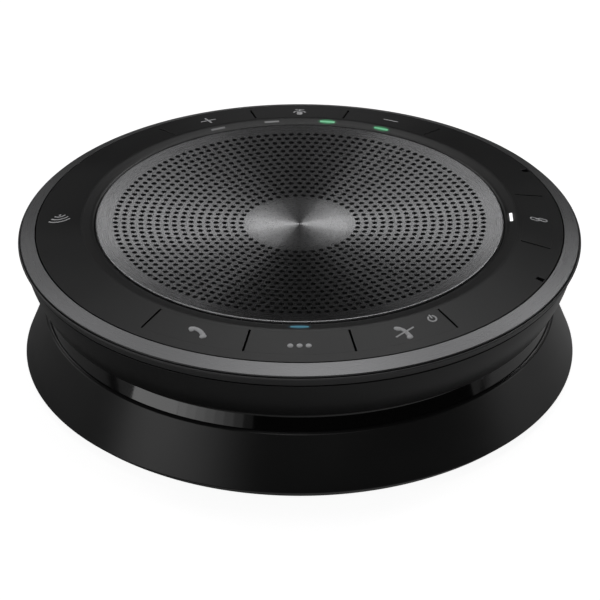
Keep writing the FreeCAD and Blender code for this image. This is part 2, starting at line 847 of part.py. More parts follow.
def shield_can():
    """A pressed lid over the radio chips, open below."""
    length, width, height = SHIELD
    low = MAIN_BOARD_Z + BOARD_T
    inset = 2 * SHIELD_T
    inside = block(length - inset, width - inset, *SHIELD_AT, low - 1, low + height - SHIELD_T)
    return block(length, width, *SHIELD_AT, low, low + height).cut(inside)


def board_parts():
    """Processor, coils, capacitors and the cable and battery connectors on the main board."""
    low = MAIN_BOARD_Z + BOARD_T
    parts = [
        block(length, width, angle, radius, low, low + height)
        for length, width, height, angle, radius in BLOCKS
    ]
    radius, height, from_axis, angles = CAPACITOR
    parts += [peg(radius, angle, from_axis, low, low + height) for angle in angles]
    return group(parts)


def key_ribbon():
    """The flat cable from the key board, through the chassis, down to the main board."""
    high = KEY_BOARD_Z - 0.02
    low = MAIN_BOARD_Z + BOARD_T + 0.02
    outline = [
        (RIBBON_END_R, high),
        (RIBBON_R, high),
        (RIBBON_R, low),
        (RIBBON_END_R, low),
        (RIBBON_END_R, low + RIBBON_T),
        (RIBBON_R - RIBBON_T, low + RIBBON_T),
        (RIBBON_R - RIBBON_T, high - RIBBON_T),
        (RIBBON_END_R, high - RIBBON_T),
    ]
    points = [FreeCAD.Vector(r, -RIBBON_WIDTH / 2, z) for r, z in outline]
    strip = Part.Face(Part.makePolygon(points + points[:1])).extrude(BACK * RIBBON_WIDTH)
    strip.rotate(CENTRE, UP, 180)
    return strip


def antenna_coil():
    """The flat coil of the contactless reader, below the mark on the panel's left."""
    length, width, height = COIL
    low = board_top_z() + 0.02
    inside = block(length - 2 * COIL_BAND, width - 2 * COIL_BAND, *COIL_AT, low - 1, low + 1)
    return block(length, width, *COIL_AT, low, low + height).cut(inside)


PIECES = {
    "foot_ring": foot_ring,
    "base_plate": base_plate,
    "base_skirt": base_skirt,
    "base_screws": base_screws,
    "waist_band": waist_band,
    "cable_inlet": cable_inlet,
    "housing_screws": housing_screws,
    "battery_tray": battery_tray,
    "battery_pack": battery_pack,
    "lower_housing": lower_housing,
    "seal_ring": seal_ring,
    "rim_lip": rim_lip,
    "bevel_ring": bevel_ring,
    "control_panel": control_panel,
    "key_pads": key_pads,
    "dome_switches": dome_switches,
    "light_ring": light_ring,
    "light_chips": light_chips,
    "mic_capsules": mic_capsules,
    "mic_boots": mic_boots,
    "grille": grille,
    "grille_cloth": grille_cloth,
    "speaker_baffle": speaker_baffle,
    "driver_gasket": driver_gasket,
    "driver_basket": driver_basket,
    "driver_surround": driver_surround,
    "driver_cone": driver_cone,
    "dust_cap": dust_cap,
    "voice_coil": voice_coil,
    "driver_spider": driver_spider,
    "front_plate": front_plate,
    "driver_magnet": driver_magnet,
    "driver_yoke": driver_yoke,
    "driver_screws": driver_screws,
    "chassis": chassis,
    "chassis_screws": chassis_screws,
    "key_board": key_board,
    "main_board": main_board,
    "board_screws": board_screws,
    "shield_can": shield_can,
    "board_parts": board_parts,
    "key_ribbon": key_ribbon,
    "antenna_coil": antenna_coil,
}

WINDOW_PIECES = {
    "level_windows_lit": (LEVEL_SIZE, LIT_ANGLES),
    "level_windows_unlit": (LEVEL_SIZE, UNLIT_ANGLES),
    "call_window": (CALL_SIZE, (CALL_ANGLE,)),
    "link_window": (LINK_SIZE, (LINK_ANGLE,)),
}


def save(name, shape):
    shape.exportStep(os.path.join("parts", name + ".step"))
    print(name, "valid" if shape.isValid() else "NOT VALID", len(shape.Solids), "solids")


def main():
    os.makedirs("parts", exist_ok=True)
    for name, make in PIECES.items():
        save(name, make())
    for name, (size, angles) in WINDOW_PIECES.items():
        save(name, light_windows(size, angles))
    for name, (start, end) in KEYS.items():
        save(name, key(start, end))


main()
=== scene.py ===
"""Looks of the round desk speakerphone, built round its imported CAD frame. Lengths are in metres."""

import json
from math import asin, atan2, cos, degrees, hypot, pi, radians, sin, sqrt, tan

import bmesh
import bpy
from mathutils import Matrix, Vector
from mathutils.geometry import delaunay_2d_cdt


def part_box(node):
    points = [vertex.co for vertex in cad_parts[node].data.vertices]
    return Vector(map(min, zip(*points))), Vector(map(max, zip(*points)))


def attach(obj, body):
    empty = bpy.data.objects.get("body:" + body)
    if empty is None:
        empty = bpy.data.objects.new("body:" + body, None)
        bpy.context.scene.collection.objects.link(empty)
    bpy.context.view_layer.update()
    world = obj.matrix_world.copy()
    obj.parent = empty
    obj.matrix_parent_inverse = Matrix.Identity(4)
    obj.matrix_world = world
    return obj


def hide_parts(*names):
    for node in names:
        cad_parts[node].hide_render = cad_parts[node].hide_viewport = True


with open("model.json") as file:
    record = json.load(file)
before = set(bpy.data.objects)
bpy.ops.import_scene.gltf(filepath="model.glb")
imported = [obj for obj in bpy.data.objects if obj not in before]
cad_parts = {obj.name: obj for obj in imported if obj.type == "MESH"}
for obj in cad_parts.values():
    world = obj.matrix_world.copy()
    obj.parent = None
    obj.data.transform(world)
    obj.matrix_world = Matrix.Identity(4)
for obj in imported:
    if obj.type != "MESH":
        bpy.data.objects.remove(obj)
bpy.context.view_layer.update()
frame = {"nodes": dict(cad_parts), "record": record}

MM = 0.001

# Housing, whose outer places the CAD boxes give
FOOT_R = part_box("foot_ring")[1].x
FOOT_TOP_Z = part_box("foot_ring")[1].z
FOOT_IN_R = 48.0 * MM
PLATE_POCKET_R = 56.75 * MM
PLATE_TOP_Z = 3.1 * MM
SKIRT_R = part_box("base_skirt")[1].x
SKIRT_Z = 2.3 * MM
SKIRT_LOW_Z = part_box("base_skirt")[0].z
SKIRT_EDGE = 0.35 * MM
LEDGE_R = 54.8 * MM
LEDGE_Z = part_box("base_skirt")[1].z
FLANGE_IN_R = 47.6 * MM
WALL = 1.8 * MM
BOWL_LOW_R = 55.4 * MM
BOWL_LOW_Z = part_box("waist_band")[1].z
BOWL_TOP_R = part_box("lower_housing")[1].x
BOWL_TOP_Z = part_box("lower_housing")[1].z
BOWL_BULGE = 0.45 * MM
BOWL_HOLE_R = 36.0 * MM
BOWL_STEPS = 14
FLOOR_T = 1.6 * MM
LIP_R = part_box("rim_lip")[1].x
LIP_LOW_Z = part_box("rim_lip")[0].z
LIP_TOP_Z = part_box("rim_lip")[1].z
GROOVE_R = 59.62 * MM
BEVEL_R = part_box("bevel_ring")[1].x
BEVEL_LOW_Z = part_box("bevel_ring")[0].z
BEVEL_TOP_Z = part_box("bevel_ring")[1].z
BEVEL_BASE_Z = 29.15 * MM
BEVEL_LEG_R = 57.25 * MM
BEVEL_EDGE = 0.1 * MM
PANEL_LEG_R = 55.3 * MM

# Panel and light ring
PANEL_OUT_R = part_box("control_panel")[1].x
PANEL_IN_R = PANEL_OUT_R - 9.65 * MM
TOP_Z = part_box("control_panel")[1].z
PANEL_OUT_Z = TOP_Z - 1.85 * MM
PANEL_T = 1.3 * MM
PANEL_SEAM = 0.1 * MM
PANEL_GAP = 0.15 * MM
PANEL_EDGE_R = 0.1 * MM
RIDGE = 0.65 * MM
RING_SEAM = 0.02 * MM
LIGHT_IN_R = 44.0 * MM
LIGHT_IN_Z = 32.6 * MM
LIGHT_BASE_Z = 31.0 * MM
LIGHT_CHAMFER = (0.4 * MM, 0.5 * MM)

# Grille: 16 rings of holes in a dished sheet with a rolled edge
GRILLE_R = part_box("grille")[1].x
GRILLE_T = 0.6 * MM
DISH_R = 589 * MM
GRILLE_Z = 31.15 * MM
HOLE_PITCH = 1.78 * MM
HOLE_R = 0.6 * MM
HOLE_SIDES = 14
ROLL_R = 0.2 * MM
FIRST_RING = 7
LAST_RING = 22

# Keys: body, start and end angle; windows hold neighbouring keys
WINDOW_IN_R = 47.5 * MM
WINDOW_OUT_R = 53.9 * MM
WINDOW_MID_R = (WINDOW_IN_R + WINDOW_OUT_R) / 2
SIDE_GAP = 0.2 * MM
END_GAP = 0.015 * MM
WINDOWS = ((234, 306), (54, 126), (-12.4, 12.4))
KEYS = {
    "key_answer": (234, 258),
    "key_menu": (258, 282),
    "key_end": (282, 306),
    "key_volume_down": (54, 78),
    "key_mute": (78, 102),
    "key_volume_up": (102, 126),
    "key_link": (-12.4, 12.4),
}

# Microphone slots: their angles, inner and outer radius, and half width
MIC_ANGLES = (-25.7, 25.7)
MIC_IN_R = 54.3 * MM
MIC_OUT_R = 55.9 * MM
MIC_HALF = 0.6 * MM

# Lights: each is its angle, middle radius, half length, the colour of its glow and its strength.
# The glow begins at HALO_START of the distance to the halo's edge, and ends at that edge.
LIGHT_HALF = 0.3 * MM
HALO = 0.8 * MM
HALO_START = 0.42
GREEN = (0.06, 0.62, 0.22)
LIGHTS = (
    (66, 45.2 * MM, 1.65 * MM, GREEN, 0.24),
    (82, 45.2 * MM, 1.65 * MM, GREEN, 0.3),
    (98, 45.2 * MM, 1.65 * MM, GREEN, 0.0),
    (114, 45.2 * MM, 1.65 * MM, GREEN, 0.0),
    (270, 45.4 * MM, 1.8 * MM, (0.1, 0.4, 0.6), 0.2),
    (0, 45.1 * MM, 1.75 * MM, (1.0, 1.0, 1.0), 0.03),
)

# Soft lights, in degrees as seen from the object. Those at the two sides stand one above the other.
# Each row of them is its elevation, how far it stands from the back, its width, and its radiance
# at the right and at the left.
BACK = 90
BOX_WIDTH = 12
BOX_HEIGHT = 14
LOW_WIDTH = 18
LOW_HEIGHT = 20
SIDE_BOXES = (
    (22, 36, BOX_WIDTH, 0.8, 0.85),
    (36, 48, BOX_WIDTH, 5.0, 2.7),
    (50, 48, BOX_WIDTH, 1.8, 1.65),
    (64, 45, 30, 1.05, 0.85),
    (78, 45, 76, 2.3, 1.8),
)
# Single lights: azimuth, elevation, width, height and radiance
BACK_BOXES = (
    (66, 8, BOX_WIDTH, BOX_HEIGHT, 0.16),
    (90, 8, BOX_WIDTH, BOX_HEIGHT, 0.11),
    (114, 8, BOX_WIDTH, BOX_HEIGHT, 0.22),
    (90, 36, BOX_WIDTH, BOX_HEIGHT, 0.08),
    (66, 50, BOX_WIDTH, BOX_HEIGHT, 0.75),
    (78, 50, BOX_WIDTH, BOX_HEIGHT, 1.0),
    (90, 50, BOX_WIDTH, BOX_HEIGHT, 1.65),
    (102, 50, BOX_WIDTH, BOX_HEIGHT, 0.9),
    (114, 50, BOX_WIDTH, BOX_HEIGHT, 0.25),
)
FRONT_BOXES = (
    (261, 30, LOW_WIDTH, LOW_HEIGHT, 0.15),
    (279, 30, LOW_WIDTH, LOW_HEIGHT, 0.45),
    (297, 30, LOW_WIDTH, LOW_HEIGHT, 0.15),
    (261, 50, LOW_WIDTH, LOW_HEIGHT, 1.25),
)
WAIST_BOX = (208, 10, 22, LOW_HEIGHT, 1.05)
# Fading rows: first azimuth, spacing and width, count, and the first and last radiance
FADES = (
    (153, LOW_WIDTH, 3, 0.72, 0.12),
    (221, 4, 8, 0.95, 0.06),
    (349, 6, 5, 0.1, 1.25),
)
FADE_ELEVATION = 10
# How far all of them stand from the point that they face
LIGHT_DISTANCE = 1.0
AIM = Vector((0, 0, 0.025))

# The floor and the studio, which the camera sees white and the object as dark. As the bowl reflects
# it, the floor glows towards one azimuth, from nothing to full.
FLOOR_SHOWN = (0.35, 0.93)
FLOOR_DIM = 0.3
FLOOR_GLOW = 0.14
GLOW_AZIMUTH = -25
GLOW_SPAN = (-0.025, 0.075)
STUDIO_DIM = 0.008
FLOOR_HALF = 6.0

# Noise runs from dark to light, or low to high, over this part of its values
NOISE_SPAN = (0.3, 0.7)

# The middle of the grille: its radius, how wide it blends in, how much paler its painted highlight
# makes it, and what its roughness gains
CENTRE_R = 9.0 * MM
CENTRE_BLEND = 4.0 * MM
CENTRE_PAINTED_HIGHLIGHT = 1.6
CENTRE_ROUGHER = 0.01

# Steps round the axis of a lathe piece and of the grille's rim
ROUND_STEPS = 360
RIM_STEPS = 300

# Grid lines of a plate, in degrees: how far they keep from a window's side or a slot's middle, and
# from a light's middle; and how far the opening of a window and of a slot reaches past its angles
LINE_CLEAR = 0.8
LIGHT_CLEAR = 3
GAP_REACH = 0.2
MIC_REACH = 0.6

# A plate's edges that turn by more than this, in radians, are shaded sharp
SHARP_ANGLE = 0.5

# Print: radius of most marks, height of its top over the panel, its thickness, what each later
# stroke adds to its height, and the facets of a round end
MARK_R = 51.0 * MM
PRINT_LIFT = 0.03 * MM
PRINT_T = 0.028 * MM
PRINT_STEP = 0.004 * MM
CAP_STEPS = 10

# Camera: focal length, place and tilt
LENS = 170.2
CAMERA_AT = (0.09 * MM, -529.7 * MM, 324.4 * MM)
CAMERA_TILT = 59.49


# Shapes


def panel_z(radius):
    """Height of the panel, which falls outwards."""
    return TOP_Z - (radius - PANEL_IN_R) * (TOP_Z - PANEL_OUT_Z) / (PANEL_OUT_R - PANEL_IN_R)


def ring_z(radius):
    """Height of the light ring's top, which falls towards the grille, with its inner chamfer."""
    if radius < LIGHT_IN_R:
        width, height = LIGHT_CHAMFER
        return LIGHT_IN_Z - (LIGHT_IN_R - radius) * height / width
    return LIGHT_IN_Z + (radius - LIGHT_IN_R) * (TOP_Z - LIGHT_IN_Z) / (PANEL_IN_R - LIGHT_IN_R)


def top_z(radius):
    """Height of the light ring and the panel: the ridge where they meet is rounded."""
    x = radius - PANEL_IN_R
    if x < -RIDGE:
        return ring_z(radius)
    if x > RIDGE:
        return panel_z(radius)
    rise = (TOP_Z - LIGHT_IN_Z) / (PANEL_IN_R - LIGHT_IN_R)
    fall = (PANEL_OUT_Z - TOP_Z) / (PANEL_OUT_R - PANEL_IN_R)
    return TOP_Z + (rise + fall) / 2 * x + (fall - rise) / (4 * RIDGE) * (x**2 + RIDGE**2)


def grille_z(radius):
    """Height of the grille's top: a dish whose edge is rolled down."""
    over = max(radius - (GRILLE_R - ROLL_R), 0.0)
    return dish_z(radius) - ROLL_R + sqrt(max(ROLL_R**2 - over**2, 0.0))


def dish_z(radius):
    """Height of the plain dish, which is part of a sphere."""
    return GRILLE_Z + DISH_R - sqrt(DISH_R**2 - radius**2)


def new_piece(name, vertices, faces, material, body="root"):
    """A smooth-shaded mesh that rides on a body."""
    mesh = bpy.data.meshes.new(name)
    mesh.from_pydata(vertices, [], faces)
    mesh.validate()
    mesh.materials.append(material)
    mesh.shade_smooth()
    piece = bpy.data.objects.new(name, mesh)
    bpy.context.scene.collection.objects.link(piece)
    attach(piece, body)
    return piece


def bevelled(piece, width, method):
    """A bevel modifier of the piece, limited by the method."""
    bevel = piece.modifiers.new("edges", "BEVEL")
    bevel.width = width
    bevel.segments = 3
    bevel.limit_method = method
    bevel.harden_normals = True
    return bevel


def round_edges(piece, width, angle=25):
    """A bevel on the edges that turn by more than an angle."""
    bevelled(piece, width, "ANGLE").angle_limit = radians(angle)


def round_spokes(piece, width):
    """A bevel on the upper edges that run outwards from the axis, and on no others."""
    mesh = bmesh.new()
    mesh.from_mesh(piece.data)
    weight = mesh.edges.layers.float.new("bevel_weight_edge")
    for edge in mesh.edges:
        a, b = (v.co for v in edge.verts)
        along = (b - a).normalized()
        outward = Vector((a.x + b.x, a.y + b.y, 0)).normalized()
        sharp = len(edge.link_faces) == 2 and edge.calc_face_angle() > 1
        upper = any(face.normal.z > 0.5 for face in edge.link_faces)
        if sharp and upper and abs(along.dot(outward)) > 0.9:
            edge[weight] = 1.0
    mesh.to_mesh(piece.data)
    mesh.free()
    bevelled(piece, width, "WEIGHT")


def stand_for(piece, node):
    """The piece takes a CAD node's place."""
    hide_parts(node)
    return piece


def lathe(name, outline, material):
    """A closed (radius, z) outline, swept round the Z axis."""
    count = len(outline)
    vertices = []
    for i in range(ROUND_STEPS):
        turn = 2 * pi * i / ROUND_STEPS
        vertices += [(r * cos(turn), r * sin(turn), z) for r, z in outline]
    faces = []
    for i in range(ROUND_STEPS):
        here, there = i * count, (i + 1) % ROUND_STEPS * count
        for j in range(count):
            k = (j + 1) % count
            faces.append((here + j, there + j, there + k, here + k))
    return new_piece(name, vertices, faces, material)


def apart(a, b):
    """The angle between two directions, in degrees."""
    return abs((a - b + 180) % 360 - 180)


def polar_plate(name, radii, lines, kept, top, bottom, material, body="root"):
    """A plate over a polar grid. Each line is (degrees, offset): a radial line moved sideways.
    kept(radius, degrees) says which cells are there, by their middle. top and bottom give heights
    by radius."""
    lines = sorted(lines)
    count = len(radii)
    closed = lines[-1][0] - lines[0][0] > 350
    points = []
    for angle, offset in lines:
        for r in radii:
            turn = radians(angle) + asin(offset / r)
            points.append((r * cos(turn), r * sin(turn), r))
    cells = []
    spans = len(lines) if closed else len(lines) - 1
    for i in range(spans):
        nxt = (i + 1) % len(lines)
        end = lines[nxt][0] + (360 if nxt == 0 else 0)
        middle = (lines[i][0] + end) / 2 + degrees((lines[i][1] + lines[nxt][1]) / 2 / radii[-1])
        for j in range(count - 1):
            if kept((radii[j] + radii[j + 1]) / 2, middle):
                here, there = i * count + j, nxt * count + j
                cells.append((here, here + 1, there + 1, there))
    shift = len(points)
    vertices = [(x, y, top(r)) for x, y, r in points]
    vertices += [(x, y, bottom(r)) for x, y, r in points]
    faces = list(cells) + [tuple(shift + v for v in reversed(cell)) for cell in cells]
    edges = {(cell[k], cell[(k + 1) % 4]) for cell in cells for k in range(4)}
    faces += [(b, a, a + shift, b + shift) for a, b in edges if (b, a) not in edges]
    piece = new_piece(name, vertices, faces, material, body)
    tidy = bmesh.new()
    tidy.from_mesh(piece.data)
    bmesh.ops.delete(tidy, geom=[v for v in tidy.verts if not v.link_faces], context="VERTS")
    for edge in tidy.edges:
        edge.smooth = edge.calc_face_angle(0) < SHARP_ANGLE
    tidy.to_mesh(piece.data)
    tidy.free()
    return piece


# Materials


class Nodes:
    """A small helper that makes and links a material's nodes."""

    def __init__(self, name):
        self.material = bpy.data.materials.new(name)
        self.material.use_nodes = True
        self.tree = self.material.node_tree
        self.shader = self.tree.nodes["Principled BSDF"]

    @classmethod
    def of(cls, material):
        """The helper of a material that is already made."""
        made = cls.__new__(cls)
        made.material = material
        made.tree = material.node_tree
        made.shader = made.tree.nodes["Principled BSDF"]
        return made

    def add(self, kind, **values):
        node = self.tree.nodes.new(kind)
        for key, value in values.items():
            setattr(node, key, value)
        return node

    def link(self, source, target):
        self.tree.links.new(source, target)

    def settle(self, **values):
        """Sets the shader's sockets, whose names have underscores here for their spaces."""
        for key, value in values.items():
            self.shader.inputs[key.replace("_", " ")].default_value = value

    def place(self, scale=(1, 1, 1)):
        """Object coordinates, scaled."""
        coordinates = self.add("ShaderNodeTexCoord")
        mapping = self.add("ShaderNodeMapping")
        mapping.inputs["Scale"].default_value = scale
        self.link(coordinates.outputs["Object"], mapping.inputs["Vector"])
        return mapping.outputs["Vector"]

    def noise(self, vector, scale, detail=3.0, roughness=0.5):
        node = self.add("ShaderNodeTexNoise")
        node.inputs["Scale"].default_value = scale
        node.inputs["Detail"].default_value = detail
        node.inputs["Roughness"].default_value = roughness
        self.link(vector, node.inputs["Vector"])
        return node.outputs["Fac"]

    def between(self, factor, low, high, start=NOISE_SPAN[0], end=NOISE_SPAN[1]):
        """factor's stretch from start to end, mapped to low to high."""
        node = self.add("ShaderNodeMapRange")
        node.inputs["From Min"].default_value = start
        node.inputs["From Max"].default_value = end
        node.inputs["To Min"].default_value = low
        node.inputs["To Max"].default_value = high
        self.link(factor, node.inputs["Value"])
        return node.outputs["Result"]

    def tint(self, factor, dark, light):
        """A colour between two greys or colours."""
        ramp = self.add("ShaderNodeValToRGB")
        for stop, position, colour in zip(ramp.color_ramp.elements, NOISE_SPAN, (dark, light)):
            stop.position = position
            stop.color = (*colour, 1)
        self.link(factor, ramp.inputs["Fac"])
        self.link(ramp.outputs["Color"], self.shader.inputs["Base Color"])

    def bump(self, height, distance):
        node = self.add("ShaderNodeBump")
        node.inputs["Distance"].default_value = distance
        node.inputs["Strength"].default_value = 1.0
        self.link(height, node.inputs["Height"])
        self.link(node.outputs["Normal"], self.shader.inputs["Normal"])


def grey(value):
    """A neutral grey, with a trace of blue."""
    return (value, value, value * 1.02)


def moulded(name, colour, roughness, grain=0.25, depth=0.004, coat=0.0):
    """Moulded plastic or rubber: a fine grain, and slow changes of colour and roughness.
    grain is the grain's size and depth its height, in mm."""
    n = Nodes(name)
    place = n.place()
    slow = n.noise(place, 45.0, 2.0)
    fine = n.noise(place, 1.0 / (grain * MM), 2.0)
    n.tint(slow, [c * 0.9 for c in colour], [c * 1.1 for c in colour])
    n.link(n.between(slow, roughness * 0.93, roughness * 1.07), n.shader.inputs["Roughness"])
    n.bump(fine, depth * MM)
    if coat:
        n.settle(Coat_Weight=coat, Coat_Roughness=0.05)
    return n.material


def spun_metal(name, colour, roughness, anisotropy, line=0.05, depth=0.00015, centre=False):
    """Metal turned on a lathe: fine lines, line mm apart, run round the axis and stretch the
    highlights. With a centre, the metal near the axis is paler, a painted highlight, and a little
    rougher."""
    n = Nodes(name)
    coordinates = n.add("ShaderNodeTexCoord")
    split = n.add("ShaderNodeSeparateXYZ")
    n.link(coordinates.outputs["Object"], split.inputs["Vector"])
    flat = n.add("ShaderNodeCombineXYZ")
    n.link(split.outputs["X"], flat.inputs["X"])
    n.link(split.outputs["Y"], flat.inputs["Y"])
    radius = n.add("ShaderNodeVectorMath", operation="LENGTH")
    n.link(flat.outputs["Vector"], radius.inputs[0])
    turn = n.add("ShaderNodeMath", operation="ARCTAN2")
    n.link(split.outputs["Y"], turn.inputs[0])
    n.link(split.outputs["X"], turn.inputs[1])
    bent = n.add("ShaderNodeMath", operation="MULTIPLY")
    bent.inputs[1].default_value = line * MM * 6
    n.link(turn.outputs["Value"], bent.inputs[0])
    polar = n.add("ShaderNodeCombineXYZ")
    n.link(radius.outputs["Value"], polar.inputs["X"])
    n.link(bent.outputs["Value"], polar.inputs["Y"])
    lines = n.noise(polar.outputs["Vector"], 1.0 / (line * MM), 3.0, 0.6)
    n.tint(lines, [c * 0.92 for c in colour], [c * 1.08 for c in colour])
    rough = n.between(lines, roughness * 0.9, roughness * 1.12)
    if centre:
        inner = n.between(radius.outputs["Value"], 1.0, 0.0, CENTRE_R, CENTRE_R + CENTRE_BLEND)
        # Painted highlight: the base colour turns paler towards the axis.
        painted_highlight = n.add("ShaderNodeMix", data_type="RGBA")
        painted_highlight.inputs[7].default_value = (*[c * CENTRE_PAINTED_HIGHLIGHT for c in colour], 1)
        n.link(inner, painted_highlight.inputs[0])
        n.link(n.shader.inputs["Base Color"].links[0].from_socket, painted_highlight.inputs[6])
        n.link(painted_highlight.outputs[2], n.shader.inputs["Base Color"])
        rougher = n.add("ShaderNodeMath", operation="MULTIPLY_ADD")
        rougher.inputs[1].default_value = CENTRE_ROUGHER
        n.link(inner, rougher.inputs[0])
        n.link(rough, rougher.inputs[2])
        rough = rougher.outputs["Value"]
    n.link(rough, n.shader.inputs["Roughness"])
    n.bump(lines, depth * MM)
    tangent = n.add("ShaderNodeTangent", direction_type="RADIAL", axis="Z")
    n.link(tangent.outputs["Tangent"], n.shader.inputs["Tangent"])
    n.settle(Metallic=1.0, Anisotropic=anisotropy)
    return n.material


def metal(name, colour, roughness):
    """Plated or rolled metal with a faint mottle."""
    n = Nodes(name)
    place = n.place()
    mottle = n.noise(place, 900.0, 4.0, 0.6)
    n.tint(mottle, [c * 0.88 for c in colour], [c * 1.08 for c in colour])
    n.link(n.between(mottle, roughness * 0.85, roughness * 1.2), n.shader.inputs["Roughness"])
    n.bump(mottle, 0.002 * MM)
    n.settle(Metallic=1.0)
    return n.material


def glowing(name, colour, light, strength):
    """A translucent light window, faintly cloudy, that gives light of its own."""
    n = Nodes(name)
    place = n.place()
    cloud = n.noise(place, 700.0, 2.0)
    n.tint(cloud, [c * 0.9 for c in colour], colour)
    n.link(n.between(cloud, 0.3, 0.4), n.shader.inputs["Roughness"])
    n.bump(cloud, 0.003 * MM)
    n.settle(Emission_Color=(*light, 1), Emission_Strength=strength, Coat_Weight=0.3)
    return n.material


def woven(name, colour, thread):
    """Cloth: two crossing sets of threads, thread mm apart."""
    n = Nodes(name)
    place = n.place()
    heights = []
    for direction in ("X", "Y"):
        wave = n.add("ShaderNodeTexWave", bands_direction=direction)
        wave.inputs["Scale"].default_value = 0.16 / (thread * MM)
        wave.inputs["Distortion"].default_value = 0.6
        n.link(place, wave.inputs["Vector"])
        heights.append(wave.outputs["Fac"])
    weave = n.add("ShaderNodeMath", operation="MAXIMUM")
    n.link(heights[0], weave.inputs[0])
    n.link(heights[1], weave.inputs[1])
    n.tint(weave.outputs["Value"], [c * 0.6 for c in colour], colour)
    n.bump(weave.outputs["Value"], 0.02 * MM)
    n.settle(Roughness=0.9, Sheen_Weight=0.2)
    return n.material


def paper(name, colour):
    """Pressed paper fibre."""
    n = Nodes(name)
    fibre = n.noise(n.place((1, 1, 3)), 2500.0, 6.0, 0.7)
    n.tint(fibre, [c * 0.7 for c in colour], [c * 1.2 for c in colour])
    n.link(n.between(fibre, 0.75, 0.95), n.shader.inputs["Roughness"])
    n.bump(fibre, 0.03 * MM)
    return n.material


def circuit(name, colour):
    """A printed board: solder mask over raised tracks."""
    n = Nodes(name)
    place = n.place()
    cells = n.add("ShaderNodeTexBrick")
    cells.inputs["Scale"].default_value = 260.0
    cells.inputs["Mortar Size"].default_value = 0.06
    n.link(place, cells.inputs["Vector"])
    tracks = n.noise(place, 600.0, 1.0)
    n.tint(cells.outputs["Fac"], colour, [c * 1.9 for c in colour])
    n.link(n.between(tracks, 0.3, 0.45), n.shader.inputs["Roughness"])
    n.bump(cells.outputs["Fac"], 0.02 * MM)
    n.settle(Coat_Weight=0.4)
    return n.material


def halo(n, place, angle, radius, half, colour, strength):
    """The glow round one light window: full over the window, and fading to nothing beyond it."""
    turned = n.add("ShaderNodeVectorRotate", rotation_type="Z_AXIS")
    turned.inputs["Angle"].default_value = -radians(angle)
    n.link(place, turned.inputs["Vector"])
    centred = n.add("ShaderNodeVectorMath", operation="SUBTRACT")
    centred.inputs[1].default_value = (radius, 0, TOP_Z)
    n.link(turned.outputs["Vector"], centred.inputs[0])
    scaled = n.add("ShaderNodeVectorMath", operation="MULTIPLY")
    scaled.inputs[1].default_value = (1 / (LIGHT_HALF + HALO), 1 / (half + HALO), 0)
    n.link(centred.outputs["Vector"], scaled.inputs[0])
    distance = n.add("ShaderNodeVectorMath", operation="LENGTH")
    n.link(scaled.outputs["Vector"], distance.inputs[0])
    fade = n.add("ShaderNodeMapRange", interpolation_type="SMOOTHSTEP")
    fade.inputs["From Min"].default_value = HALO_START
    fade.inputs["From Max"].default_value = 1.0
    fade.inputs["To Min"].default_value = strength
    fade.inputs["To Max"].default_value = 0.0
    n.link(distance.outputs["Value"], fade.inputs["Value"])
    tinted = n.add("ShaderNodeVectorMath", operation="SCALE")
    tinted.inputs[0].default_value = colour
    n.link(fade.outputs["Result"], tinted.inputs["Scale"])
    return tinted.outputs["Vector"]


def ring_plastic(colour, roughness):
    """The light ring's smoked plastic, in which each lit window spreads a small halo."""
    material = moulded("ring_plastic", colour, roughness, grain=0.12, depth=0.002)
    n = Nodes.of(material)
    place = n.place()
    total, *others = [halo(n, place, *light) for light in LIGHTS if light[-1]]
    for glow in others:
        add = n.add("ShaderNodeVectorMath", operation="ADD")
        n.link(total, add.inputs[0])
        n.link(glow, add.inputs[1])
        total = add.outputs["Vector"]
    n.link(total, n.shader.inputs["Emission Color"])
    n.settle(Emission_Strength=1.0)
    return material


SOFT_TOUCH = moulded("soft_touch", grey(0.014), 0.36, grain=0.12, depth=0.0025)
RING_PLASTIC = ring_plastic(grey(0.012), 0.36)
SATIN = moulded("satin_black", grey(0.011), 0.3, grain=0.15, depth=0.002)
# The lip's grey is partly its own dark grey and partly painted light, which stands in for the light
# its down-facing side gets from below.
LIP_GREY_AND_PAINTED_LIGHT = moulded("lip_grey_and_painted_light", grey(0.06), 0.42, grain=0.15, depth=0.002)
GLOSS = moulded("gloss_black", grey(0.003), 0.09, grain=1.2, depth=0.0015, coat=1.0)
RUBBER = moulded("foot_rubber", grey(0.03), 0.75, grain=0.2, depth=0.01)
PRINT = moulded("grey_print", grey(0.6), 0.55, grain=0.1, depth=0.002)
SPUN = spun_metal("spun_aluminium", grey(0.116), 0.29, 0.55)
GRILLE_METAL = spun_metal("grille_aluminium", grey(0.42), 0.27, 0.95, centre=True)

